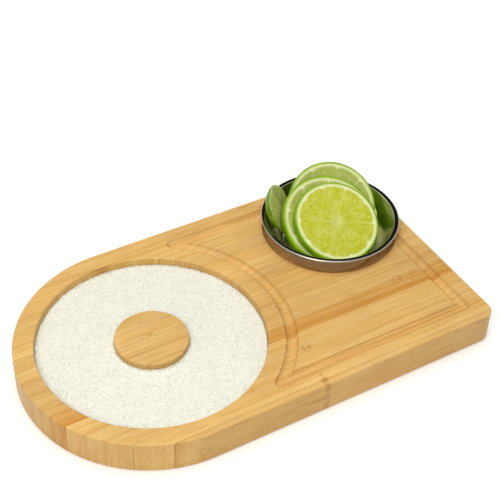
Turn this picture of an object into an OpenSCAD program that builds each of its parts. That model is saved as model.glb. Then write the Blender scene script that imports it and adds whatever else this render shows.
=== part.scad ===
// Cocktail glass rimming board: a laminated bamboo board with a ring-shaped salt well,
// a juice groove and a round seat for a steel sauce dish that holds cut limes.
//
// Origin: the middle of the board's footprint, on its underside.
// +X points to the square end, +Y to the long edge beside the dish, +Z up.

/* [Board] */
// Length of the board, from the round end to the square end
board_l = 254; // [245:1:300]
// Thickness of the board
board_t = 21; // [18:0.5:30]
// Wood left between the salt well and the board's edge
rim_wall = 11.5; // [8:0.5:20]
// Plan radius of the two corners of the square end
corner_r = 7; // [4:0.5:20]
// Rounding of the edge round the top
top_edge_r = 1; // [0.4:0.1:2.5]
// Rounding of the edge round the underside
bottom_edge_r = 2; // [0.5:0.1:3.5]

/* [Bamboo strips] */
// Width of one bamboo strip
strip_w = 9; // [6:0.5:20]
// Distance of the middle glue line from the board's centre line
glue_line_y = 0.6; // [-3:0.1:3]
// Narrowest strip that is left along a long edge
edge_strip_min = 2; // [1:0.5:4]

/* [Salt well] */
// Diameter of the ring-shaped well, which takes the rim of a cocktail glass
well_d = 127; // [110:1:140]
// Diameter of the flat island in the middle of the well
island_d = 41; // [25:1:60]
// Depth of the well below the board's top
well_depth = 12; // [8:0.5:14]
// Easing of the well's two upper edges
well_lip_r = 0.8; // [0.2:0.1:1.5]
// Distance of the salt's surface below the board's top
salt_drop = 5.5; // [3:0.5:7]
// Clearance between the salt and the sides of the well
salt_clear = 0.1; // [0.05:0.05:0.5]

/* [Juice groove] */
// Width of the groove where it opens at the board's top
groove_w = 7; // [4:0.5:10]
// Depth of the round-bottomed groove
groove_depth = 2.6; // [1.5:0.1:3.5]
// Distance of the groove's middle from the two long edges
groove_side_inset = 13; // [10:0.5:20]
// Distance of the groove's middle from the square end
groove_end_inset = 13.5; // [10:0.5:20]
// Distance of the groove's curved run from the salt well
groove_well_gap = 13; // [8:0.5:16]

/* [Dish seat] */
// Depth of the round seat below the board's top
seat_depth = 12; // [6:0.5:14]
// Wood left between the seat and the board's edges
seat_wall = 3; // [2:0.5:12]
// How far the dish's rim reaches past the side of the seat
rim_overhang = 1; // [0.5:0.1:4]
// Easing of the seat's upper edge
seat_lip_r = 0.6; // [0.2:0.1:1]

/* [Sauce dish] */
// Diameter of the dish over its rolled rim
dish_d = 83; // [74:1:86]
// Height of the dish
dish_h = 21.2; // [18:0.2:30]
// Diameter at which the sloping wall would meet the floor
dish_base_d = 56; // [50:1:62]
// Thickness of the sheet steel
dish_t = 0.7; // [0.5:0.1:1.2]
// Outer radius of the bend between the floor and the wall
dish_bend_r = 4; // [2:0.5:6]
// Width of the flat rim, from the wall to the rolled edge
rim_w = 2.3; // [1.5:0.1:4]
// Radius of the rolled edge
rim_roll_r = 0.7; // [0.5:0.1:1]

/* [Lime slices] */
// Thickness of a slice
slice_t = 5.5; // [4:0.5:7]
// Diameter of the back slice, which stands on the dish's floor
back_slice_d = 54; // [44:1:56]
// Diameter of the middle slice
middle_slice_d = 58.8; // [46:0.2:60]
// Diameter of the front slice
front_slice_d = 51.6; // [40:0.2:56]
// Lean of the back slice, measured from lying flat
back_slice_lean = 33.3; // [30:0.1:36]
// Lean of the middle and front slices
front_lean = 26.8; // [24:0.1:30]
// Turn of the back slice's face about the vertical
back_slice_turn = -106.6; // [-112:0.1:-100]
// Turn of the middle and front slices' faces about the vertical
front_turn = -95.6; // [-100:0.1:-90]
// How far the front slice has slipped down the middle one
front_slip = 4; // [0:0.5:6]
// Gap between pieces that lie on one another
rest_gap = 0.3; // [0.1:0.1:0.5]

/* [Lime wedge] */
// Radius of the lime that the wedge was cut from
lime_r = 18.3; // [16:0.1:19]
// Distance of the wedge's face from the middle of that lime
wedge_face_drop = 4.5; // [2:0.5:8]

/* [Hidden] */
$fn = 96;
over = 1;
lip_steps = 4;

// Board
well_r = well_d / 2;
island_r = island_d / 2;
board_w = well_d + 2 * rim_wall;
side_y = board_w / 2;
end_x = board_l / 2;
well_x = side_y - end_x;
well_floor = board_t - well_depth;

// Glue lines between the strips, and the strips' edges from front to back
first_line = ceil((edge_strip_min - side_y - glue_line_y) / strip_w);
last_line = floor((side_y - edge_strip_min - glue_line_y) / strip_w);
glue_lines = [for (k = [first_line:last_line]) glue_line_y + k * strip_w];
strip_edges = concat([-side_y], glue_lines, [side_y]);
strip_count = len(strip_edges) - 1;
function strip_name(i) = str("strip_", i < 10 ? "0" : "", i);

// Juice groove, cut by a ball-nosed tool whose centre travels above the board's top and which
// dwells at the corners
groove_ball_r = (pow(groove_w / 2, 2) + pow(groove_depth, 2)) / (2 * groove_depth);
groove_z = board_t - groove_depth + groove_ball_r;
groove_y = side_y - groove_side_inset;
groove_end_x = end_x - groove_end_inset;
groove_dwell = 0.05;
groove_arc_r = well_r + groove_well_gap;
groove_arc_half = asin(groove_y / groove_arc_r);
groove_arc_x = well_x + groove_arc_r * cos(groove_arc_half);

// Seat and dish
dish_r = dish_d / 2;
seat_r = dish_r - rim_overhang;
seat_x = end_x - seat_wall - seat_r;
seat_y = side_y - seat_wall - seat_r;
seat_floor = board_t - seat_depth;
wall_top_r = dish_r - rim_roll_r - rim_w;
wall_top_z = dish_h - dish_t;
wall_angle = atan2(wall_top_z, wall_top_r - dish_base_d / 2);
bend_x = dish_base_d / 2 - dish_bend_r * tan(wall_angle / 2);

inner_top_r = wall_top_r - dish_t * tan((90 - wall_angle) / 2);
wall_in_base_r = dish_base_d / 2 - dish_t / sin(wall_angle);

// Directions of a leaning piece: out of its face, down its slope and across it
function face_dir(lean, turn) = [sin(lean) * cos(turn), sin(lean) * sin(turn), cos(lean)];
function slope_dir(lean, turn) = [cos(lean) * cos(turn), cos(lean) * sin(turn), -sin(lean)];
function across_dir(turn) = [-sin(turn), cos(turn), 0];

// Slices, placed from the middle of the dish's underside. A slice's foot is the lowest point of
// its upper face. The middle one has slid down its slope until it is near the dish's wall
back_foot_x = 1.6;
back_foot_y = -11.8;
back_foot = [back_foot_x, back_foot_y, dish_t + rest_gap + slice_t * cos(back_slice_lean)];
middle_face_z = 23.96;
middle_foot_gap = 1.07;
middle_shift_w = -1.79;
middle_foot_out = (wall_in_base_r - middle_foot_gap + middle_face_z / tan(wall_angle))
    / (1 + tan(front_lean) / tan(wall_angle));
middle_foot = [0, 0, middle_face_z] + middle_shift_w * across_dir(front_turn)
    + middle_foot_out / cos(front_lean) * slope_dir(front_lean, front_turn);
front_shift_w = 0.7;

// The wedge lies beside the slices, against the dish's wall, or on its rim in a narrow dish
wedge_out = 21;
wedge_bearing = 148;
wedge_lean = 47.8;
wedge_turn = -41.9;
wedge_clear_r = lime_r + rest_gap;
wedge_wall_z = (wedge_clear_r / sin(wall_angle) + wedge_out - wall_in_base_r) * tan(wall_angle);
wedge_rim_z = dish_h + sqrt(max(0, pow(wedge_clear_r, 2) - pow(inner_top_r - wedge_out, 2)));
wedge_z = wedge_wall_z - wedge_clear_r * cos(wall_angle) < wall_top_z ? wedge_wall_z : wedge_rim_z;

// The wedge is lifted out along the dish's wall
way_lean = 90 - wall_angle;
way_dir = face_dir(way_lean, wedge_bearing);

bamboo = [0.86, 0.7, 0.42];
bamboo_dark = [0.8, 0.6, 0.28];
lime_flesh = [0.74, 0.78, 0.25];
lime_rind = [0.5, 0.65, 0.1];

// Profile of the board's edge, w wide from the inside, with both outer corners rounded
module edge_profile(w) {
    translate([0, bottom_edge_r])
        square([w, board_t - bottom_edge_r - top_edge_r]);
    square([w - bottom_edge_r, bottom_edge_r]);
    translate([w - bottom_edge_r, bottom_edge_r])
        circle(bottom_edge_r);
    translate([0, board_t - top_edge_r])
        square([w - top_edge_r, top_edge_r]);
    translate([w - top_edge_r, board_t - top_edge_r])
        circle(top_edge_r);
}

// The whole board before its well, groove and seat are cut
module board_blank() {
    translate([well_x, 0, 0])
        rotate([0, 0, 90])
            rotate_extrude(angle = 180)
                edge_profile(side_y);
    translate([well_x, 0, 0])
        rotate([90, 0, 90])
            linear_extrude(end_x - corner_r - well_x) {
                edge_profile(side_y);
                mirror([1, 0]) edge_profile(side_y);
            }
    translate([end_x - corner_r, side_y - corner_r, 0])
        rotate([90, 0, 0])
            linear_extrude(board_w - 2 * corner_r)
                edge_profile(corner_r);
    for (side = [-1, 1])
        translate([end_x - corner_r, side * (side_y - corner_r), 0])
            rotate([0, 0, side > 0 ? 0 : -90])
                rotate_extrude(angle = 90)
                    edge_profile(corner_r);
}

// Points of an arc about [x, z], in equal steps from angle a0 to a1
function arc_points(x, z, r, a0, a1, steps = 12) =
    [for (k = [0:steps]) let (a = a0 + (a1 - a0) * k / steps) [x + r * cos(a), z + r * sin(a)]];

// Ring-shaped well with its island, and with both upper edges eased
module well_cutter() {
    lip_z = board_t - well_lip_r;
    translate([well_x, 0, 0])
        rotate_extrude()
            polygon(concat(
                [[island_r, well_floor], [well_r, well_floor]],
                arc_points(well_r + well_lip_r, lip_z, well_lip_r, 180, 90, lip_steps),
                [[well_r + well_lip_r, board_t + over], [island_r - well_lip_r, board_t + over]],
                arc_points(island_r - well_lip_r, lip_z, well_lip_r, 90, 0, lip_steps)));
}

// Closed juice groove: three straight runs and an arc round the well
module groove_cutter() {
    ends = [groove_arc_x, groove_end_x];
    for (side = [-1, 1]) {
        translate([groove_arc_x, side * groove_y, groove_z])
            rotate([0, 90, 0])
                cylinder(h = groove_end_x - groove_arc_x, r = groove_ball_r);
        for (x = ends)
            translate([x, side * groove_y, groove_z])
                sphere(groove_ball_r + groove_dwell);
    }
    translate([groove_end_x, groove_y, groove_z])
        rotate([90, 0, 0])
            cylinder(h = 2 * groove_y, r = groove_ball_r);
    translate([well_x, 0, groove_z])
        rotate([0, 0, -groove_arc_half])
            rotate_extrude(angle = 2 * groove_arc_half)
                translate([groove_arc_r, 0])
                    circle(groove_ball_r);
}

// Round seat for the dish, with its upper edge eased
module seat_cutter() {
    translate([seat_x, seat_y, 0])
        rotate_extrude()
            polygon(concat(
                [[0, seat_floor], [seat_r, seat_floor]],
                arc_points(seat_r + seat_lip_r, board_t - seat_lip_r, seat_lip_r, 180, 90,
                           lip_steps),
                [[seat_r + seat_lip_r, board_t + over], [0, board_t + over]]));
}

// One bamboo strip, with its share of the well, the groove and the seat
module board_strip(i) {
    y0 = strip_edges[i - 1];
    y1 = strip_edges[i];
    color(i % 3 == 0 ? bamboo_dark : bamboo)
        difference() {
            intersection() {
                board_blank();
                translate([-end_x - over, y0, -over])
                    cube([board_l + 2 * over, y1 - y0, board_t + 2 * over]);
            }
            well_cutter();
            groove_cutter();
            seat_cutter();
        }
}

// Loose salt that fills the lower part of the well
module salt_bed() {
    color([0.94, 0.94, 0.9])
        translate([well_x, 0, well_floor])
            difference() {
                cylinder(h = well_depth - salt_drop, r = well_r - salt_clear);
                translate([0, 0, -over])
                    cylinder(h = well_depth + over, r = island_r + salt_clear);
            }
}

// Pressed sheet dish: a flat floor, a bend, a sloping wall and a flat rim with a rolled edge
module sauce_dish() {
    wall_lean = wall_angle - 90;
    color([0.78, 0.78, 0.78])
        translate([seat_x, seat_y, seat_floor])
            rotate_extrude() {
                polygon(concat(
                    [[0, 0]],
                    arc_points(bend_x, dish_bend_r, dish_bend_r, -90, wall_lean),
                    [[wall_top_r, wall_top_z], [dish_r - rim_roll_r, wall_top_z],
                     [dish_r - rim_roll_r, dish_h], [inner_top_r, dish_h]],
                    arc_points(bend_x, dish_bend_r, dish_bend_r - dish_t, wall_lean, -90),
                    [[0, dish_t]]));
                translate([dish_r - rim_roll_r, dish_h - rim_roll_r])
                    circle(rim_roll_r, $fn = 32);
            }
}

// Places its child at place, measured from the middle of the dish's underside, and leans it
// back by lean from lying flat, with its face turned to the direction turn
module in_dish(place, lean, turn) {
    translate([seat_x, seat_y, seat_floor])
        translate(place)
            rotate([0, lean, turn])
                children();
}

// One slice, with the lowest point of its upper face at the origin
module lime_slice(d) {
    color(lime_flesh)
        translate([-d / 2, 0, -slice_t])
            cylinder(h = slice_t, d = d);
}

module lime_slice_back() {
    in_dish(back_foot, back_slice_lean, back_slice_turn)
        lime_slice(back_slice_d);
}

module lime_slice_middle() {
    in_dish(middle_foot, front_lean, front_turn)
        lime_slice(middle_slice_d);
}

// The front slice lies parallel on the middle one and has slipped down it
module lime_slice_front() {
    in_dish(middle_foot, front_lean, front_turn)
        translate([front_slip - (middle_slice_d - front_slice_d) / 2, front_shift_w,
                   slice_t + rest_gap])
            lime_slice(front_slice_d);
}

// Outline of a slice as seen along a line that meets its face at a sine of k: half an ellipse for
// each of its two edges, set apart by the slice's thickness, and rest_gap larger all round
function seen_points(d, k) =
    let (r = d / 2 + rest_gap, s = sqrt(1 - k * k))
    concat(
        [for (a = [-90:9:90]) [k * r * cos(a) + rest_gap * s, r * sin(a)]],
        [for (a = [90:9:270]) [k * r * cos(a) - (slice_t + rest_gap) * s, r * sin(a)]]);

// The room that a slice keeps free of the wedge, all along the wedge's way out
module slice_room(foot, lean, turn, d) {
    face = face_dir(lean, turn);
    swing = atan2(face * across_dir(wedge_bearing), face * slope_dir(way_lean, wedge_bearing));
    in_dish(foot - d / 2 * slope_dir(lean, turn), way_lean, wedge_bearing)
        rotate([0, 0, swing])
            translate([0, 0, -dish_d])
                linear_extrude(2 * dish_d)
                    polygon(seen_points(d, face * way_dir));
}

// Domed wedge of a lime that leans on the dish's wall: one flat cut makes the face that shows,
// and its other side follows the slices
module lime_wedge() {
    place = [wedge_out * cos(wedge_bearing), wedge_out * sin(wedge_bearing), wedge_z];
    color(lime_rind)
        difference() {
            in_dish(place, wedge_lean, wedge_turn)
                rotate_extrude()
                    polygon(concat(
                        [[0, -wedge_face_drop]],
                        arc_points(0, 0, lime_r, -asin(wedge_face_drop / lime_r), -90, 16)));
            slice_room(back_foot, back_slice_lean, back_slice_turn, back_slice_d);
            slice_room(middle_foot, front_lean, front_turn, middle_slice_d);
        }
}

for (i = [1:strip_count])
    board_strip(i);
salt_bed();
sauce_dish();
lime_slice_back();
lime_slice_middle();
lime_slice_front();
lime_wedge();
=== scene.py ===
import math
import random
import bmesh
import bpy
from mathutils import Euler, Matrix, Vector, noise


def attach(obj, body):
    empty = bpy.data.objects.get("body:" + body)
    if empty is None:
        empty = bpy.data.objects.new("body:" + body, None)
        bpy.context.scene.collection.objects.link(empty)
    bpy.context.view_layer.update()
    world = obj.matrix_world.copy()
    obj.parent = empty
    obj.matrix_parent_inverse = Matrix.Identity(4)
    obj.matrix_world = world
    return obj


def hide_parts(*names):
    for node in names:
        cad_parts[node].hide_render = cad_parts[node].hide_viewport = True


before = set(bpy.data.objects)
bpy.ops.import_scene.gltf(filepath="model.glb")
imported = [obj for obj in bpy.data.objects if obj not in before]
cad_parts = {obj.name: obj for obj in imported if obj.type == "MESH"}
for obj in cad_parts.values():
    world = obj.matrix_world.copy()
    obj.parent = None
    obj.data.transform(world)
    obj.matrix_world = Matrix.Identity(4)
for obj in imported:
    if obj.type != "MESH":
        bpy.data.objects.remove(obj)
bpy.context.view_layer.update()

scene = bpy.context.scene


# ---------------------------------------------------------------------------
# Camera
# The board is seen from above its front left corner, slightly rolled.
# ---------------------------------------------------------------------------

MM = 0.001
CAMERA_TURN = math.radians(-31.766)
CAMERA_RISE = math.radians(41.661)
CAMERA_ROLL = math.radians(2.387)
CAMERA_DISTANCE = 726.3 * MM
CAMERA_TARGET = Vector((43.22, 56.11, 0)) * MM
FOCAL_IN_FRAMES = 1176.5 / 500
SENSOR = 36

towards_camera = Vector((math.sin(CAMERA_TURN) * math.cos(CAMERA_RISE),
                         -math.cos(CAMERA_TURN) * math.cos(CAMERA_RISE),
                         math.sin(CAMERA_RISE)))
level = Vector((math.cos(CAMERA_TURN), math.sin(CAMERA_TURN), 0))
upright = towards_camera.cross(level)
frame_right = level * math.cos(CAMERA_ROLL) + upright * math.sin(CAMERA_ROLL)
frame_up = upright * math.cos(CAMERA_ROLL) - level * math.sin(CAMERA_ROLL)
camera_data = bpy.data.cameras.new("camera")
camera_data.sensor_width = SENSOR
camera_data.lens = SENSOR * FOCAL_IN_FRAMES
camera_data.clip_start = 0.01
camera_data.clip_end = 50
camera = bpy.data.objects.new("camera", camera_data)
scene.collection.objects.link(camera)
camera_turn = Matrix((frame_right, frame_up, towards_camera)).transposed().to_4x4()
camera.matrix_world = Matrix.Translation(CAMERA_TARGET + towards_camera * CAMERA_DISTANCE) @ camera_turn
scene.camera = camera


# ---------------------------------------------------------------------------
# Light
# Soft light from a window at the front left and from overhead, in a white
# room. A black card behind the board shows only in reflections, where it draws
# the dark line along the dish's rim.
# ---------------------------------------------------------------------------

ROOM_LIGHT = 0.55
ABOVE_DISH = Vector((0.083, 0.031, 0.03))
CARD_DISTANCE = 0.9
CARD_HALF = 0.6


def srgb(code, alpha=1.0):
    """Linear colour of an sRGB hex code."""
    channels = [int(code[i:i + 2], 16) / 255 for i in (0, 2, 4)]
    linear = [c / 12.92 if c <= 0.04045 else ((c + 0.055) / 1.055) ** 2.4 for c in channels]
    return (*linear, alpha)


def add(tree, kind, settings=None, **links):
    """Adds a shader node with its settings. A link is named for its input, or i and its number."""
    node = tree.nodes.new(kind)
    for name, value in (settings or {}).items():
        if isinstance(name, int) or name in node.inputs:
            node.inputs[name].default_value = value
        else:
            setattr(node, name, value)
    for name, source in links.items():
        key = int(name[1:]) if name[1:].isdigit() else name.replace("_", " ")
        if isinstance(source, bpy.types.Node):
            source = next(socket for socket in source.outputs if socket.enabled)
        tree.links.new(source, node.inputs[key])
    return node


def new_tree(owner):
    """Turns on the nodes of a material or world and clears them."""
    owner.use_nodes = True
    owner.node_tree.nodes.clear()
    return owner.node_tree


def looked_at(tree):
    """1 where a camera, glossy or transmission ray meets the surface, and 0 for the light it gives."""
    ray = add(tree, "ShaderNodeLightPath")
    straight = add(tree, "ShaderNodeMath", {"operation": "MAXIMUM"},
                   i0=ray.outputs["Is Camera Ray"], i1=ray.outputs["Is Glossy Ray"])
    return add(tree, "ShaderNodeMath", {"operation": "MAXIMUM"},
               i0=straight, i1=ray.outputs["Is Transmission Ray"])


def flat_sheet(name, half_size, place):
    """A plain square sheet, such as the card and the floor."""
    bm = bmesh.new()
    bmesh.ops.create_grid(bm, x_segments=1, y_segments=1, size=half_size, matrix=place)
    mesh = bpy.data.meshes.new(name)
    bm.to_mesh(mesh)
    bm.free()
    sheet = bpy.data.objects.new(name, mesh)
    scene.collection.objects.link(sheet)
    return sheet


def area_light(name, place, size, watts, tint):
    """A round soft lamp that points at the middle of the board."""
    lamp_data = bpy.data.lights.new(name, "AREA")
    lamp_data.shape = "DISK"
    lamp_data.size = size
    lamp_data.energy = watts
    lamp_data.color = srgb(tint)[:3]
    lamp = bpy.data.objects.new(name, lamp_data)
    scene.collection.objects.link(lamp)
    lamp.location = place
    lamp.rotation_euler = (-Vector(place)).to_track_quat("-Z", "Y").to_euler()


scene.view_settings.view_transform = "Standard"
world = bpy.data.worlds.new("white_room")
scene.world = world
room = new_tree(world)
strength = add(room, "ShaderNodeMapRange", {"To Min": ROOM_LIGHT, "To Max": 1.0}, Value=looked_at(room))
sky = add(room, "ShaderNodeBackground", {"Color": srgb("ffffff")}, Strength=strength)
add(room, "ShaderNodeOutputWorld", Surface=sky)
area_light("window", (-0.5, -0.35, 0.75), 0.5, 3.7, "fffaf2")
area_light("overhead", (0.05, 0.1, 0.9), 0.5, 2.4, "ffffff")

card_aim = Vector((-towards_camera.x, -towards_camera.y, towards_camera.z))
card_place = ABOVE_DISH + card_aim * CARD_DISTANCE
card_turn = card_aim.to_track_quat("Z", "Y").to_matrix().to_4x4()
card = flat_sheet("black_card", CARD_HALF, Matrix.Translation(card_place) @ card_turn)
card.visible_camera = card.visible_diffuse = card.visible_shadow = card.visible_transmission = False

# Matt black card, which gives a soft dark reflection
black_card = bpy.data.materials.new("black_card")
tree = new_tree(black_card)
add(tree, "ShaderNodeOutputMaterial",
    Surface=add(tree, "ShaderNodeBsdfDiffuse", {"Color": srgb("2a2826")}))
card.data.materials.append(black_card)


# ---------------------------------------------------------------------------
# Floor
# White paper under the board. It glows a little where it is looked at, and more
# far from the board, so that it comes out white and keeps the board's shadow.
# ---------------------------------------------------------------------------

FLOOR_HALF = 3
NEAR, FAR = 0.25, 1.2
GLOW_NEAR, GLOW_FAR = 0.25, 0.5

floor = flat_sheet("floor", FLOOR_HALF, Matrix.Translation((0, 0, -0.05 * MM)))

# Plain matt paper, with no gloss
paper = bpy.data.materials.new("white_paper")
tree = new_tree(paper)
spot = add(tree, "ShaderNodeTexCoord").outputs["Object"]
far = add(tree, "ShaderNodeVectorMath", {"operation": "LENGTH"}, i0=spot).outputs["Value"]
lift = add(tree, "ShaderNodeMapRange",
           {"From Min": NEAR, "From Max": FAR, "To Min": GLOW_NEAR, "To Max": GLOW_FAR}, Value=far)
lift = add(tree, "ShaderNodeMath", {"operation": "MULTIPLY"}, i0=looked_at(tree), i1=lift)
glow = add(tree, "ShaderNodeEmission", {"Color": srgb("ffffff")}, Strength=lift)
matt = add(tree, "ShaderNodeBsdfDiffuse", {"Color": srgb("efefef")})
add(tree, "ShaderNodeOutputMaterial", Surface=add(tree, "ShaderNodeAddShader", None, i0=matt, i1=glow))
floor.data.materials.append(paper)


# ---------------------------------------------------------------------------
# Bamboo board
# Strips of bamboo as thick as the board, glued side by side with their fibres
# running along it, then routed, sanded and oiled.
# ---------------------------------------------------------------------------

# In millimetres from the middle of the board. The dark strip has its edge and its faded end in Y,
# and the coarse fibres their middle in Y and the X from which they are full
STRIP_WIDTH = 9.0
GLUE_LINE = 0.6
GRAIN_SLIDE = 700.0
DARK_EDGE = -35.7
DARK_END = -18.0
COARSE_Y = -62.0
COARSE_X = -5.0
# The middle of each knuckle, and half its length and width
KNUCKLES = [(19.5, -13, 5.5, 3.6), (92.5, -26, 5, 4.5), (17, -47, 6, 3), (14, -72, 3, 7),
            (-52, 2, 3.5, 1), (-38, 26, 3, 4), (58, 66, 4, 4.5), (-96, -38, 3, 4.5), (104, 8, 3, 4)]

# Oiled bamboo has a satin skin over fine straight fibres, with sparse dark vessel lines that run
# for a centimetre or two, and knuckles where the culm had its nodes. All sizes are in millimetres
bamboo = bpy.data.materials.new("oiled_laminated_bamboo")
tree = new_tree(bamboo)
place = add(tree, "ShaderNodeTexCoord").outputs["Object"]
in_mm = add(tree, "ShaderNodeVectorMath", {"operation": "SCALE", "Scale": 1000.0}, i0=place)
axes = add(tree, "ShaderNodeSeparateXYZ", None, Vector=in_mm)
from_line = add(tree, "ShaderNodeMath", {"operation": "SUBTRACT", 1: GLUE_LINE}, i0=axes.outputs["Y"])
count = add(tree, "ShaderNodeMath", {"operation": "DIVIDE", 1: STRIP_WIDTH}, i0=from_line)
number = add(tree, "ShaderNodeMath", {"operation": "FLOOR"}, i0=count)
own = add(tree, "ShaderNodeTexWhiteNoise", {"noise_dimensions": "1D"}, W=number)
slide = add(tree, "ShaderNodeMath", {"operation": "MULTIPLY", 1: GRAIN_SLIDE}, i0=own.outputs["Value"])
slide = add(tree, "ShaderNodeCombineXYZ", None, X=slide)
grain_place = add(tree, "ShaderNodeVectorMath", {"operation": "ADD"}, i0=in_mm, i1=slide)

# Fibres 0.4 mm across, streaks 3 mm across, vessel lines 0.5 mm across and clouds of tone
fibre_map = add(tree, "ShaderNodeMapping", {"Scale": (0.03, 2.6, 1.7)}, Vector=grain_place)
fibres = add(tree, "ShaderNodeTexNoise", {"Scale": 1.0, "Detail": 3.0, "Roughness": 0.6}, Vector=fibre_map)
streak_map = add(tree, "ShaderNodeMapping", {"Scale": (0.011, 0.42, 0.03), "Location": (3, 7, 1)},
                 Vector=grain_place)
streaks = add(tree, "ShaderNodeTexNoise",
              {"Scale": 1.0, "Detail": 3.0, "Roughness": 0.55, "Distortion": 0.25}, Vector=streak_map)
vessel_map = add(tree, "ShaderNodeMapping", {"Scale": (0.05, 1.9, 1.3), "Location": (11, 2, 5)},
                 Vector=grain_place)
vessels = add(tree, "ShaderNodeTexNoise", {"Scale": 1.0, "Detail": 1.5}, Vector=vessel_map)
clouds = add(tree, "ShaderNodeTexNoise", {"Scale": 0.035, "Detail": 2.0}, Vector=in_mm)

streak_part = add(tree, "ShaderNodeMapRange", {"From Min": 0.34, "From Max": 0.68}, Value=streaks)
colour = add(tree, "ShaderNodeMix", {"data_type": "RGBA", 6: srgb("e4bd78"), 7: srgb("d8a85b")},
             i0=streak_part)
fibre_part = add(tree, "ShaderNodeMapRange", {"From Min": 0.5, "From Max": 0.72, "To Max": 0.45},
                 Value=fibres)
colour = add(tree, "ShaderNodeMix", {"data_type": "RGBA", 7: srgb("c08a3f")}, i0=fibre_part, i6=colour)
vessel_part = add(tree, "ShaderNodeMapRange", {"From Min": 0.6, "From Max": 0.7, "To Max": 0.55},
                  Value=vessels)
colour = add(tree, "ShaderNodeMix", {"data_type": "RGBA", 7: srgb("b27a35")}, i0=vessel_part, i6=colour)

# One strip comes from the dark outer wall of a culm: its edge is sharp and it fades to the back
edge = add(tree, "ShaderNodeMapRange", {"From Min": DARK_EDGE, "From Max": DARK_EDGE + 0.6},
           Value=axes.outputs["Y"])
fade = add(tree, "ShaderNodeMapRange",
           {"interpolation_type": "SMOOTHSTEP", "From Min": DARK_END, "From Max": DARK_EDGE + 2.7},
           Value=axes.outputs["Y"])
dark = add(tree, "ShaderNodeMath", {"operation": "MULTIPLY"}, i0=edge, i1=fade)
uneven = add(tree, "ShaderNodeMapRange",
             {"From Min": 0.3, "From Max": 0.65, "To Min": 0.35, "To Max": 0.95}, Value=streaks)
dark = add(tree, "ShaderNodeMath", {"operation": "MULTIPLY"}, i0=dark, i1=uneven)
colour = add(tree, "ShaderNodeMix", {"data_type": "RGBA", 7: srgb("c6882f")}, i0=dark, i6=colour)

# Coarse orange fibres lie close together along the front run of the groove
off_line = add(tree, "ShaderNodeMath", {"operation": "SUBTRACT", 1: COARSE_Y}, i0=axes.outputs["Y"])
off_line = add(tree, "ShaderNodeMath", {"operation": "ABSOLUTE"}, i0=off_line)
near_line = add(tree, "ShaderNodeMapRange", {"From Min": 5.5, "From Max": 3.0}, Value=off_line)
coarse_map = add(tree, "ShaderNodeMapping", {"Scale": (0.006, 1.9, 0.04), "Location": (0, 4.1, 0)},
                 Vector=in_mm)
coarse = add(tree, "ShaderNodeTexNoise", {"Scale": 1.0, "Detail": 2.0}, Vector=coarse_map)
coarse_part = add(tree, "ShaderNodeMapRange", {"From Min": 0.48, "From Max": 0.62, "To Max": 0.7},
                  Value=coarse)
coarse_part = add(tree, "ShaderNodeMath", {"operation": "MULTIPLY"}, i0=coarse_part, i1=near_line)
square_end = add(tree, "ShaderNodeMapRange", {"From Min": COARSE_X - 20, "From Max": COARSE_X},
                 Value=axes.outputs["X"])
coarse_part = add(tree, "ShaderNodeMath", {"operation": "MULTIPLY"}, i0=coarse_part, i1=square_end)
colour = add(tree, "ShaderNodeMix", {"data_type": "RGBA", 7: srgb("bd8036")}, i0=coarse_part, i6=colour)

# Glue lines
within = add(tree, "ShaderNodeMath", {"operation": "FRACT"}, i0=count)
off_middle = add(tree, "ShaderNodeMath", {"operation": "SUBTRACT", 1: 0.5}, i0=within)
off_middle = add(tree, "ShaderNodeMath", {"operation": "ABSOLUTE"}, i0=off_middle)
glue = add(tree, "ShaderNodeMapRange", {"From Min": 0.466, "From Max": 0.494, "To Max": 0.5},
           Value=off_middle)
colour = add(tree, "ShaderNodeMix", {"data_type": "RGBA", 7: srgb("a9732f")}, i0=glue, i6=colour)

# Knuckles: broken dark marks across the fibres
knots = add(tree, "ShaderNodeTexNoise", {"Scale": 0.55, "Detail": 3.0, "Roughness": 0.7}, Vector=in_mm)
broken = add(tree, "ShaderNodeMapRange", {"From Min": 0.45, "From Max": 0.58, "To Max": 0.7}, Value=knots)
marked = None
for x, y, half_x, half_y in KNUCKLES:
    apart = add(tree, "ShaderNodeVectorMath", {"operation": "SUBTRACT", 1: (x, y, 0)}, i0=in_mm)
    apart = add(tree, "ShaderNodeVectorMath", {"operation": "MULTIPLY", 1: (1 / half_x, 1 / half_y, 0)},
                i0=apart)
    apart = add(tree, "ShaderNodeVectorMath", {"operation": "LENGTH"}, i0=apart)
    here = add(tree, "ShaderNodeMapRange",
               {"interpolation_type": "SMOOTHSTEP", "From Min": 1.0, "From Max": 0.4},
               Value=apart.outputs["Value"])
    marked = add(tree, "ShaderNodeMath", {"operation": "MAXIMUM"}, i0=marked, i1=here) if marked else here
marked = add(tree, "ShaderNodeMath", {"operation": "MULTIPLY"}, i0=marked, i1=broken)
colour = add(tree, "ShaderNodeMix", {"data_type": "RGBA", 7: srgb("a56c2c")}, i0=marked, i6=colour)

# Each strip has its own tone, and clouds of tone run over all of them
strip_tone = add(tree, "ShaderNodeMapRange", {"To Min": 0.92, "To Max": 1.04}, Value=own.outputs["Value"])
cloud_tone = add(tree, "ShaderNodeMapRange",
                 {"From Min": 0.3, "From Max": 0.7, "To Min": 0.94, "To Max": 1.06}, Value=clouds)
tone = add(tree, "ShaderNodeMath", {"operation": "MULTIPLY"}, i0=strip_tone, i1=cloud_tone)
colour = add(tree, "ShaderNodeVectorMath", {"operation": "SCALE"}, i0=colour, Scale=tone)

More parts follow.
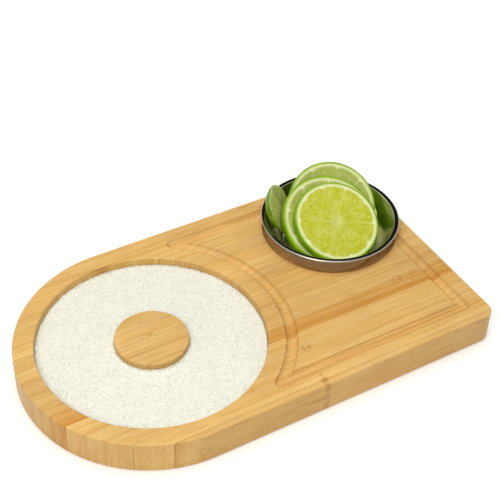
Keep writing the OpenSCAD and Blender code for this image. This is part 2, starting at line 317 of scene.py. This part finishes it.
# The sawn sides are painted darker than the sanded top, as painted shade, and the round end
# more so where the cut crosses the fibres: partly the end grain's own darker tone, partly painted shade
facing = add(tree, "ShaderNodeNewGeometry").outputs["Normal"]
faces_out = add(tree, "ShaderNodeSeparateXYZ", None, Vector=facing)
lying = add(tree, "ShaderNodeMath", {"operation": "ABSOLUTE"}, i0=faces_out.outputs["Z"])
# Painted shade: faces that stand upright are darkened
painted_side_shade = add(tree, "ShaderNodeMapRange", {"From Min": 0.3, "From Max": 0.9, "To Min": 0.92}, Value=lying)
end_grain = add(tree, "ShaderNodeMath", {"operation": "ABSOLUTE"}, i0=faces_out.outputs["X"])
ends = add(tree, "ShaderNodeMapRange", {"From Min": 0.25, "From Max": 0.9, "To Min": 1.0, "To Max": 0.95},
           Value=end_grain)
side_shade_and_end_grain = add(tree, "ShaderNodeMath", {"operation": "MULTIPLY"}, i0=painted_side_shade, i1=ends)
colour = add(tree, "ShaderNodeVectorMath", {"operation": "SCALE"}, i0=colour, Scale=side_shade_and_end_grain)
relief = add(tree, "ShaderNodeBump", {"Strength": 0.3, "Distance": 0.06 * MM}, Height=fibres)
satin = add(tree, "ShaderNodeMapRange", {"To Min": 0.36, "To Max": 0.52}, Value=fibres)
surface = add(tree, "ShaderNodeBsdfPrincipled", {"IOR": 1.45, "Specular IOR Level": 0.35},
              Base_Color=colour, Roughness=satin, Normal=relief)
add(tree, "ShaderNodeOutputMaterial", Surface=surface)

for name in sorted(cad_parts):
    if name.startswith("strip_"):
        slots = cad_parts[name].data.materials
        slots.clear()
        slots.append(bamboo)


# ---------------------------------------------------------------------------
# Salt
# Loose coarse white salt, poured into the ring-shaped well and shaken level.
# It stands a little higher along the island and the wall.
# ---------------------------------------------------------------------------

WELL_X = -52 * MM
WELL_RADIUS = 63.4 * MM
ISLAND_RADIUS = 20.6 * MM
WELL_FLOOR = 9 * MM
SALT_LEVEL = 15.2 * MM
ISLAND_RISE, WALL_RISE = 1.7, 0.6
SWELL, LUMPS = 0.35, 0.1
SALT_RINGS = 62
SALT_STEPS = 480
CRYSTAL = 0.6 * MM
OPEN_BATCHES, WALL_BATCHES, ISLAND_BATCHES = 22, 10, 4
BATCH_CRYSTALS = 190


def link_piece(name, bm, body, smooth=True):
    """Makes an object of a finished bmesh, and lets it ride on its body."""
    mesh = bpy.data.meshes.new(name)
    bm.to_mesh(mesh)
    bm.free()
    mesh.polygons.foreach_set("use_smooth", [smooth] * len(mesh.polygons))
    piece = bpy.data.objects.new(name, mesh)
    scene.collection.objects.link(piece)
    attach(piece, body)
    return piece


def spin_profile(bm, points, steps):
    """Turns a closed outline of (radius, height) points a full turn about Z."""
    corners = [bm.verts.new((r, 0, z)) for r, z in points]
    edges = [bm.edges.new((a, b)) for a, b in zip(corners, corners[1:] + corners[:1])]
    bmesh.ops.spin(bm, geom=corners + edges, cent=(0, 0, 0), axis=(0, 0, 1), angle=math.tau,
                   steps=steps, use_merge=True)
    bmesh.ops.remove_doubles(bm, verts=bm.verts, dist=0.002 * MM)
    bmesh.ops.recalc_face_normals(bm, faces=bm.faces)


def salt_height(x, y):
    """Height of the salt: a slow swell, small lumps, and a rise along the island and the wall."""
    r = math.hypot(x - WELL_X, y)
    rise = ISLAND_RISE * math.exp((ISLAND_RADIUS - r) / (4 * MM))
    rise = rise + WALL_RISE * math.exp((r - WELL_RADIUS) / (2.5 * MM))
    spot = Vector((x, y, 0))
    swell = SWELL * noise.noise(spot / (22 * MM)) + LUMPS * noise.noise(spot / (2.6 * MM))
    return SALT_LEVEL + (rise + swell) * MM


random.seed(4)
salt_bm = bmesh.new()
salt_outline = [(ISLAND_RADIUS + (WELL_RADIUS - ISLAND_RADIUS) * k / SALT_RINGS, SALT_LEVEL)
                for k in range(SALT_RINGS + 1)]
spin_profile(salt_bm, salt_outline + [(WELL_RADIUS, WELL_FLOOR), (ISLAND_RADIUS, WELL_FLOOR)], SALT_STEPS)
bmesh.ops.translate(salt_bm, verts=salt_bm.verts, vec=(WELL_X, 0, 0))
for vert in salt_bm.verts:
    if vert.co.z > WELL_FLOOR + 1 * MM:
        vert.co.z = salt_height(vert.co.x, vert.co.y) + random.uniform(-0.05, 0.05) * MM
salt = link_piece("salt_surface", salt_bm, "board")
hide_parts("salt_bed")

# Loose crystals lie all over the salt, and thicker along the wall and the island. They are drawn
# 0.6 mm across, coarser than most real ones, so that they show
crystals_bm = bmesh.new()
for batch in range(OPEN_BATCHES + WALL_BATCHES + ISLAND_BATCHES):
    batch_bm = bmesh.new()
    for _ in range(BATCH_CRYSTALS):
        if batch < OPEN_BATCHES:
            r = math.sqrt(random.uniform((ISLAND_RADIUS + CRYSTAL) ** 2, (WELL_RADIUS - CRYSTAL) ** 2))
            up = random.uniform(-0.12, 0.1) * MM
        elif batch < OPEN_BATCHES + WALL_BATCHES:
            r = WELL_RADIUS - random.uniform(0.5, 1.3) * CRYSTAL
            up = random.uniform(-0.1, 0.55) * MM
        else:
            r = ISLAND_RADIUS + random.uniform(0.5, 1.3) * CRYSTAL
            up = random.uniform(-0.1, 0.5) * MM
        a = random.uniform(0, math.tau)
        x, y = WELL_X + r * math.cos(a), r * math.sin(a)
        turn = Euler([random.uniform(0, math.tau) for _ in range(3)]).to_matrix().to_4x4()
        stretch = Matrix.Diagonal([random.uniform(0.6, 1.2) for _ in range(3)] + [1])
        bmesh.ops.create_cube(batch_bm, size=CRYSTAL,
                              matrix=Matrix.Translation((x, y, salt_height(x, y) + up)) @ turn @ stretch)
    batch_mesh = bpy.data.meshes.new("batch")
    batch_bm.to_mesh(batch_mesh)
    batch_bm.free()
    crystals_bm.from_mesh(batch_mesh)
    bpy.data.meshes.remove(batch_mesh)
crystals = link_piece("salt_crystals", crystals_bm, "board", smooth=False)

# Broken salt crystals scatter light: nearly white, with a sparkle on a few of their faces
white_salt = bpy.data.materials.new("coarse_white_salt")
tree = new_tree(white_salt)
place = add(tree, "ShaderNodeTexCoord").outputs["Object"]
cells = add(tree, "ShaderNodeTexVoronoi", {"Scale": 1 / (0.8 * MM)}, Vector=place)
drift = add(tree, "ShaderNodeTexNoise", {"Scale": 1 / (8 * MM), "Detail": 3.0}, Vector=place)
speck = add(tree, "ShaderNodeSeparateColor", None, Color=cells.outputs["Color"])
colour = add(tree, "ShaderNodeMix", {"data_type": "RGBA", 6: srgb("e0e1d3"), 7: srgb("f1f1e6")},
             i0=speck.outputs["Red"])
tint = add(tree, "ShaderNodeMapRange", {"From Min": 0.35, "From Max": 0.65, "To Min": 0.97, "To Max": 1.0},
           Value=drift)
colour = add(tree, "ShaderNodeVectorMath", {"operation": "SCALE"}, i0=colour, Scale=tint)
relief = add(tree, "ShaderNodeBump", {"Strength": 0.3, "Distance": 0.2 * MM},
             Height=cells.outputs["Distance"])
gloss = add(tree, "ShaderNodeMapRange", {"To Min": 0.3, "To Max": 0.8}, Value=speck.outputs["Green"])
surface = add(tree, "ShaderNodeBsdfPrincipled", {"IOR": 1.54},
              Base_Color=colour, Roughness=gloss, Normal=relief)
add(tree, "ShaderNodeOutputMaterial", Surface=surface)
salt.data.materials.append(white_salt)
crystals.data.materials.append(white_salt)


# ---------------------------------------------------------------------------
# Sauce dish
# Pressed from thin stainless sheet and polished: a flat floor, a sloping wall
# and a narrow flat rim that ends in a rolled bead. It stands loose in its seat.
# ---------------------------------------------------------------------------

# The middle of the seat's floor, and the dish's own sizes in millimetres
SEAT = Vector((83.5, 31.5, 9)) * MM
DISH_RADIUS = 41.5
DISH_HEIGHT = 21.2
DISH_BASE = 28.0
SHEET = 0.7
FLOOR_BEND = 4.0
RIM_WIDTH = 2.3
BEAD = 0.7
SHOULDER = 1.1
DISH_STEPS = 160
WALL_TOP = (DISH_RADIUS - BEAD - RIM_WIDTH, DISH_HEIGHT - SHEET)
WALL_ANGLE = math.atan2(WALL_TOP[1], WALL_TOP[0] - DISH_BASE)


def arc(x, z, r, start, end, steps):
    """Points of an arc about (x, z), from one angle in degrees to another."""
    angles = [math.radians(start + (end - start) * k / steps) for k in range(steps + 1)]
    return [(x + r * math.cos(a), z + r * math.sin(a)) for a in angles]


def straight_run(start, end, steps):
    """Points between two ends, so that a straight wall has faces of an even size."""
    return [(start[0] + (end[0] - start[0]) * k / steps, start[1] + (end[1] - start[1]) * k / steps)
            for k in range(1, steps)]


lean = math.degrees(WALL_ANGLE) - 90
bend_x = DISH_BASE - FLOOR_BEND * math.tan(WALL_ANGLE / 2)
outer_bend = arc(bend_x, FLOOR_BEND, FLOOR_BEND, -90, lean, 10)
inner_bend = arc(bend_x, FLOOR_BEND, FLOOR_BEND - SHEET, lean, -90, 10)
bead = arc(DISH_RADIUS - BEAD, DISH_HEIGHT - BEAD, BEAD, -170, 90, 16)
shoulder = arc(WALL_TOP[0] + SHOULDER - 0.2, DISH_HEIGHT - SHOULDER, SHOULDER, 90, 180 + lean, 6)
dish_outline = ([(0.01, 0)] + outer_bend + straight_run(outer_bend[-1], WALL_TOP, 6) + [WALL_TOP]
                + bead + shoulder + straight_run(shoulder[-1], inner_bend[0], 6) + inner_bend
                + [(0.01, SHEET)])
dish_bm = bmesh.new()
spin_profile(dish_bm, [(r * MM, z * MM) for r, z in dish_outline], DISH_STEPS)
bmesh.ops.translate(dish_bm, verts=dish_bm.verts, vec=SEAT)
dish = link_piece("polished_dish", dish_bm, "dish")
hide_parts("sauce_dish")

# Buffed stainless steel is mirror-like, with fine hoop lines left by the buffing wheel. The lines
# are drawn 0.5 mm apart, coarser than the real ones, so that they show
steel = bpy.data.materials.new("buffed_stainless_steel")
tree = new_tree(steel)
place = add(tree, "ShaderNodeTexCoord").outputs["Object"]
centred = add(tree, "ShaderNodeMapping", {"Location": (-SEAT.x, -SEAT.y, 0)}, Vector=place)
axes = add(tree, "ShaderNodeSeparateXYZ", None, Vector=centred)
flat = add(tree, "ShaderNodeCombineXYZ", None, X=axes.outputs["X"], Y=axes.outputs["Y"])
radius = add(tree, "ShaderNodeVectorMath", {"operation": "LENGTH"}, i0=flat)
hoop = add(tree, "ShaderNodeCombineXYZ", None, X=radius.outputs["Value"], Z=axes.outputs["Z"])
lines = add(tree, "ShaderNodeTexNoise", {"Scale": 1 / (0.5 * MM), "Detail": 2.0}, Vector=hoop)
smudge = add(tree, "ShaderNodeTexNoise", {"Scale": 1 / (14 * MM), "Detail": 3.0}, Vector=place)
rough = add(tree, "ShaderNodeMapRange", {"To Min": 0.12, "To Max": 0.26}, Value=smudge)
tint = add(tree, "ShaderNodeMix", {"data_type": "RGBA", 6: srgb("f0ebe2"), 7: srgb("f8f3ea")}, i0=smudge)

# The rolled rim is tinted greyer as a painted dark reflection, the inside is tinted a darker
# green-yellow as a painted reflection of the limes, and the outside of the wall is left satin, as it came
# from the press
away = add(tree, "ShaderNodeVectorMath", {"operation": "NORMALIZE"}, i0=flat)
facing = add(tree, "ShaderNodeNewGeometry").outputs["Normal"]
facing = add(tree, "ShaderNodeVectorMath", {"operation": "DOT_PRODUCT"}, i0=facing, i1=away).outputs["Value"]
inside = add(tree, "ShaderNodeMapRange", {"From Min": -0.2, "From Max": -0.6}, Value=facing)
outside = add(tree, "ShaderNodeMapRange", {"From Min": 0.3, "From Max": 0.7, "To Max": 0.5}, Value=facing)
rim_bottom = SEAT.z + (DISH_HEIGHT - 2 * BEAD - 0.2) * MM
on_rim = add(tree, "ShaderNodeMapRange", {"From Min": rim_bottom, "From Max": rim_bottom + 0.3 * MM},
             Value=axes.outputs["Z"])
lower = add(tree, "ShaderNodeMath", {"operation": "SUBTRACT", 0: 1.0}, i1=on_rim)
outside = add(tree, "ShaderNodeMath", {"operation": "MULTIPLY"}, i0=outside, i1=lower)
rough = add(tree, "ShaderNodeMath", {"operation": "MAXIMUM"}, i0=rough, i1=outside)
# Painted dark reflection: the rim is tinted grey
tint = add(tree, "ShaderNodeMix", {"data_type": "RGBA", 7: srgb("a8a39a")}, i0=on_rim, i6=tint)
# Painted reflection of the limes: the inside is tinted a darker green-yellow
tint = add(tree, "ShaderNodeMix", {"data_type": "RGBA", 7: srgb("c6c89e")}, i0=inside, i6=tint)
relief = add(tree, "ShaderNodeBump", {"Strength": 0.08, "Distance": 0.02 * MM}, Height=lines)
surface = add(tree, "ShaderNodeBsdfPrincipled", {"Metallic": 1.0},
              Base_Color=tint, Roughness=rough, Normal=relief)
add(tree, "ShaderNodeOutputMaterial", Surface=surface)
dish.data.materials.append(steel)


# ---------------------------------------------------------------------------
# Lime slices
# Three slices cut across a lime: juicy flesh in segments, a pale pith and a
# thin waxy rind. They lean on one another in the dish.
# ---------------------------------------------------------------------------

SLICE_THICKNESS = 5.5
SLICE_STEPS = 144
REST_GAP = 0.3
BACK_LEAN, BACK_TURN = 33.3, -106.6
FRONT_LEAN, FRONT_TURN = 26.8, -95.6
BACK_SIZE, MIDDLE_SIZE, FRONT_SIZE = 54.0, 58.8, 51.6
BACK_FOOT = (1.6, -11.8, SHEET + REST_GAP + SLICE_THICKNESS * math.cos(math.radians(BACK_LEAN)))
MIDDLE_FOOT = (-4.76, -30.2, 8.54)
FRONT_SLIP = 4.0
FRONT_SHIFT = 0.7


def in_dish(place, lean, turn):
    """Matrix of a lime piece: its place from the middle of the dish's underside, and its tilt."""
    return (Matrix.Translation(SEAT + Vector(place) * MM)
            @ Matrix.Rotation(math.radians(turn), 4, "Z") @ Matrix.Rotation(math.radians(lean), 4, "Y"))


def lime_flesh(name, seed, segments, flesh, deep, membrane, pith, edge):
    """Wet cut lime: juice sacs run out from the core, thin membranes part the segments, and a pale
    pith and the cut edge of the rind go round them. The cut_face map is 0 at the core and 1 at the rind."""
    material = bpy.data.materials.new(name)
    tree = new_tree(material)
    cut = add(tree, "ShaderNodeUVMap", {"uv_map": "cut_face"})
    warp = add(tree, "ShaderNodeTexNoise", {"noise_dimensions": "4D", "W": seed, "Scale": 2.2, "Detail": 1.0},
               Vector=cut)
    push = add(tree, "ShaderNodeVectorMath", {"operation": "SUBTRACT", 1: (0.5, 0.5, 0.5)},
               i0=warp.outputs["Color"])
    push = add(tree, "ShaderNodeVectorMath", {"operation": "SCALE", "Scale": 0.13}, i0=push)
    bent = add(tree, "ShaderNodeVectorMath", {"operation": "ADD"}, i0=cut, i1=push)
    axes = add(tree, "ShaderNodeSeparateXYZ", None, Vector=bent)
    outward = add(tree, "ShaderNodeVectorMath", {"operation": "LENGTH"}, i0=cut).outputs["Value"]
    radius = add(tree, "ShaderNodeVectorMath", {"operation": "LENGTH"}, i0=bent).outputs["Value"]
    angle = add(tree, "ShaderNodeMath", {"operation": "ARCTAN2"}, i0=axes.outputs["Y"], i1=axes.outputs["X"])
    part = add(tree, "ShaderNodeMath",
               {"operation": "MULTIPLY_ADD", 1: segments / math.tau, 2: 20.0}, i0=angle)
    within = add(tree, "ShaderNodeMath", {"operation": "FRACT"}, i0=part)
    off_middle = add(tree, "ShaderNodeMath", {"operation": "SUBTRACT", 1: 0.5}, i0=within)
    off_middle = add(tree, "ShaderNodeMath", {"operation": "ABSOLUTE"}, i0=off_middle)
    to_wall = add(tree, "ShaderNodeMath", {"operation": "SUBTRACT", 0: 0.5}, i1=off_middle)
    to_wall = add(tree, "ShaderNodeMath", {"operation": "MULTIPLY"}, i0=to_wall, i1=radius)

    # Juice sacs are about 1 mm across and 5 mm long, and point at the core
    sac_x = add(tree, "ShaderNodeMath", {"operation": "MULTIPLY", 1: 14.0}, i0=angle)
    sac_y = add(tree, "ShaderNodeMath", {"operation": "MULTIPLY", 1: 6.0}, i0=radius)
    sac_place = add(tree, "ShaderNodeCombineXYZ", {"Z": seed}, X=sac_x, Y=sac_y)
    sacs = add(tree, "ShaderNodeTexVoronoi", {"Scale": 1.5}, Vector=sac_place)
    streaks = add(tree, "ShaderNodeTexNoise", {"Scale": 1.6, "Detail": 3.0}, Vector=sac_place)
    patches = add(tree, "ShaderNodeTexNoise", {"noise_dimensions": "4D", "W": seed + 3, "Scale": 3.0},
                  Vector=cut)
    painted_glint_cells = add(tree, "ShaderNodeTexVoronoi", {"Scale": 24.0}, Vector=cut)
    glint_pick = add(tree, "ShaderNodeSeparateColor", None, Color=painted_glint_cells.outputs["Color"])

    amount = add(tree, "ShaderNodeMapRange", {"From Min": 0.35, "From Max": 0.68}, Value=streaks)
    colour = add(tree, "ShaderNodeMix", {"data_type": "RGBA", 6: srgb(deep), 7: srgb(flesh)}, i0=amount)
    amount = add(tree, "ShaderNodeMapRange", {"From Min": 0.5, "From Max": 0.75, "To Max": 0.4},
                 Value=patches)
    colour = add(tree, "ShaderNodeMix", {"data_type": "RGBA", 7: srgb(membrane)}, i0=amount, i6=colour)
    amount = add(tree, "ShaderNodeMapRange", {"From Min": 0.5, "From Max": 0.85, "To Max": 0.35},
                 Value=sacs.outputs["Distance"])
    colour = add(tree, "ShaderNodeMix", {"data_type": "RGBA", 7: srgb(membrane)}, i0=amount, i6=colour)
    # Painted highlights: a few cells get pale specks that stand in for glints on the wet juice
    near = add(tree, "ShaderNodeMapRange", {"From Min": 0.3, "From Max": 0.14, "To Max": 0.8},
               Value=painted_glint_cells.outputs["Distance"])
    some = add(tree, "ShaderNodeMapRange", {"From Min": 0.8, "From Max": 0.86},
               Value=glint_pick.outputs["Red"])
    amount = add(tree, "ShaderNodeMath", {"operation": "MULTIPLY"}, i0=near, i1=some)
    colour = add(tree, "ShaderNodeMix", {"data_type": "RGBA", 7: srgb("f4f5d4")}, i0=amount, i6=colour)
    amount = add(tree, "ShaderNodeMapRange", {"From Min": 0.04, "From Max": 0.006, "To Max": 0.32},
                 Value=to_wall)
    colour = add(tree, "ShaderNodeMix", {"data_type": "RGBA", 7: srgb(membrane)}, i0=amount, i6=colour)
    amount = add(tree, "ShaderNodeMapRange", {"From Min": 0.22, "From Max": 0.03, "To Max": 0.75},
                 Value=radius)
    colour = add(tree, "ShaderNodeMix", {"data_type": "RGBA", 7: srgb(membrane)}, i0=amount, i6=colour)

    # The pith's inner edge dips in between the segments
    dip = add(tree, "ShaderNodeMath", {"operation": "MULTIPLY", 1: 2.0}, i0=off_middle)
    dip = add(tree, "ShaderNodeMath", {"operation": "POWER", 1: 7.0}, i0=dip)
    inner = add(tree, "ShaderNodeMath", {"operation": "MULTIPLY_ADD", 1: 0.05}, i0=dip, i2=outward)
    pith_part = add(tree, "ShaderNodeMapRange",
                    {"interpolation_type": "SMOOTHSTEP", "From Min": 0.855, "From Max": 0.92}, Value=inner)
    colour = add(tree, "ShaderNodeMix", {"data_type": "RGBA", 7: srgb(pith)}, i0=pith_part, i6=colour)
    rind_part = add(tree, "ShaderNodeMapRange",
                    {"interpolation_type": "SMOOTHSTEP", "From Min": 0.91, "From Max": 0.975}, Value=outward)
    colour = add(tree, "ShaderNodeMix", {"data_type": "RGBA", 7: srgb(edge)}, i0=rind_part, i6=colour)

    height = add(tree, "ShaderNodeMath", {"operation": "SUBTRACT", 1: 0.3}, i0=sacs.outputs["Distance"])
    height = add(tree, "ShaderNodeMath", {"operation": "MULTIPLY_ADD", 1: -0.5}, i0=height, i2=pith_part)
    relief = add(tree, "ShaderNodeBump", {"Strength": 0.5, "Distance": 0.35 * MM}, Height=height)
    wet = add(tree, "ShaderNodeMapRange", {"To Min": 0.24, "To Max": 0.5}, Value=pith_part)
    surface = add(tree, "ShaderNodeBsdfPrincipled",
                  {"IOR": 1.36, "Specular IOR Level": 0.35, "Subsurface Weight": 0.25,
                   "Subsurface Scale": 2 * MM, "Subsurface Radius": (1.0, 1.0, 0.4)},
                  Base_Color=colour, Roughness=wet, Normal=relief)
    add(tree, "ShaderNodeOutputMaterial", Surface=surface)
    return material


# Waxy lime skin is smooth and glossy, with oil glands as fine dimples about 0.9 mm apart
rind = bpy.data.materials.new("waxy_lime_rind")
tree = new_tree(rind)
place = add(tree, "ShaderNodeTexCoord").outputs["Object"]
patches = add(tree, "ShaderNodeTexNoise", {"Scale": 1 / (9 * MM), "Detail": 3.0}, Vector=place)
glands = add(tree, "ShaderNodeTexVoronoi", {"Scale": 1 / (0.9 * MM)}, Vector=place)
amount = add(tree, "ShaderNodeMapRange", {"From Min": 0.35, "From Max": 0.65}, Value=patches)
colour = add(tree, "ShaderNodeMix", {"data_type": "RGBA", 6: srgb("5c8a02"), 7: srgb("8cb008")}, i0=amount)
amount = add(tree, "ShaderNodeMapRange", {"From Min": 0.4, "From Max": 0.1, "To Max": 0.35},
             Value=glands.outputs["Distance"])
colour = add(tree, "ShaderNodeMix", {"data_type": "RGBA", 7: srgb("a2c224")}, i0=amount, i6=colour)
relief = add(tree, "ShaderNodeBump", {"Strength": 0.35, "Distance": 0.15 * MM},
             Height=glands.outputs["Distance"])
surface = add(tree, "ShaderNodeBsdfPrincipled",
              {"IOR": 1.4, "Roughness": 0.38, "Specular IOR Level": 0.15},
              Base_Color=colour, Normal=relief)
add(tree, "ShaderNodeOutputMaterial", Surface=surface)


def lime_slice(name, node, body, size, place, flesh):
    """A slice with a rounded rind edge, and cut faces that sink a little inside the pith."""
    r, t = size / 2, SLICE_THICKNESS
    upper = [(r - 0.12, -0.45), (r - 0.35, -0.16), (r - 0.8, -0.04), (r * 0.93, -0.03), (r * 0.88, -0.1),
             (r * 0.8, -0.22), (r * 0.5, -0.24), (r * 0.2, -0.2), (0.002, -0.16)]
    lower = [(x, -t - z) for x, z in reversed(upper)]
    bm = bmesh.new()
    outline = lower + [(r, -t * 0.7), (r, -t * 0.3)] + upper
    spin_profile(bm, [(x * MM, z * MM) for x, z in outline], SLICE_STEPS)
    layer = bm.loops.layers.uv.new("cut_face")
    for face in bm.faces:
        middle = face.calc_center_median()
        face.material_index = 1 if math.hypot(middle.x, middle.y) > (r - 0.6) * MM else 0
        for loop in face.loops:
            loop[layer].uv = (loop.vert.co.x / (r * MM), loop.vert.co.y / (r * MM))
    bm.transform(place)
    piece = link_piece(name, bm, body)
    piece.data.materials.append(flesh)
    piece.data.materials.append(rind)
    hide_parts(node)


fresh = lime_flesh("cut_lime_flesh", 1.3, 10, "c4c630", "adb21a", "d8db7e", "e2e6b0", "8fb324")
paler = lime_flesh("drying_lime_flesh", 4.1, 9, "b0b859", "93a03d", "cfd594", "dee2a6", "8bb022")
back_place = in_dish(BACK_FOOT, BACK_LEAN, BACK_TURN) @ Matrix.Translation((-BACK_SIZE / 2 * MM, 0, 0))
middle_frame = in_dish(MIDDLE_FOOT, FRONT_LEAN, FRONT_TURN)
middle_place = middle_frame @ Matrix.Translation((-MIDDLE_SIZE / 2 * MM, 0, 0))
front_place = middle_frame @ Matrix.Translation(
    Vector((FRONT_SLIP - MIDDLE_SIZE / 2, FRONT_SHIFT, SLICE_THICKNESS + REST_GAP)) * MM)
lime_slice("back_slice", "lime_slice_back", "back_slice", BACK_SIZE, back_place, paler)
lime_slice("middle_slice", "lime_slice_middle", "middle_slice", MIDDLE_SIZE, middle_place, paler)
lime_slice("front_slice", "lime_slice_front", "front_slice", FRONT_SIZE, front_place, fresh)


# ---------------------------------------------------------------------------
# Lime wedge
# The domed side of a lime, cut flat across and hollowed where the slices lie
# beside it. It leans on the dish's wall with its cut face up.
# ---------------------------------------------------------------------------

LIME_RADIUS = 18.3
FACE_DROP = 4.5
WEDGE_OUT = 21.0
WEDGE_BEARING = math.radians(148)
WEDGE_LEAN, WEDGE_TURN = 47.8, -41.9
SKIN_DEPTH = 0.3
SKIN_FACING = 0.97
CREASE = math.radians(28)

inner_base = DISH_BASE - SHEET / math.sin(WALL_ANGLE)
wedge_up = ((LIME_RADIUS + REST_GAP) / math.sin(WALL_ANGLE) + WEDGE_OUT - inner_base) * math.tan(WALL_ANGLE)
wedge_foot = (WEDGE_OUT * math.cos(WEDGE_BEARING), WEDGE_OUT * math.sin(WEDGE_BEARING), wedge_up)
wedge_place = in_dish(wedge_foot, WEDGE_LEAN, WEDGE_TURN)
to_face = wedge_place.inverted()
wedge_bm = bmesh.new()
wedge_bm.from_mesh(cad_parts["lime_wedge"].data)
bmesh.ops.remove_doubles(wedge_bm, verts=wedge_bm.verts, dist=0.01 * MM)
bmesh.ops.dissolve_limit(wedge_bm, angle_limit=math.radians(0.5), verts=wedge_bm.verts, edges=wedge_bm.edges)
bmesh.ops.recalc_face_normals(wedge_bm, faces=wedge_bm.faces)
bmesh.ops.triangulate(wedge_bm, faces=wedge_bm.faces)
uv = wedge_bm.loops.layers.uv.new("cut_face")
face_radius = math.sqrt(LIME_RADIUS ** 2 - FACE_DROP ** 2)
# A face is skin where it lies on the dome and looks straight out, and cut flesh elsewhere
for face in wedge_bm.faces:
    from_centre = face.calc_center_median() - wedge_place.translation
    on_dome = from_centre.length > (LIME_RADIUS - SKIN_DEPTH) * MM
    on_dome = on_dome and face.normal.dot(from_centre.normalized()) > SKIN_FACING
    face.material_index = 1 if on_dome else 0
    face.smooth = on_dome
    for loop in face.loops:
        spot = to_face @ loop.vert.co / MM
        loop[uv].uv = (spot.x / face_radius, spot.y / face_radius)
for line in wedge_bm.edges:
    line.smooth = line.calc_face_angle(0) < CREASE
wedge = link_piece("domed_wedge", wedge_bm, "wedge")
pale = lime_flesh("pale_lime_flesh", 7.7, 8, "bcc06a", "a4aa4e", "d6dc9c", "e2e6b0", "a2c02c")
wedge.data.materials.append(pale)
wedge.data.materials.append(rind)
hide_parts("lime_wedge")
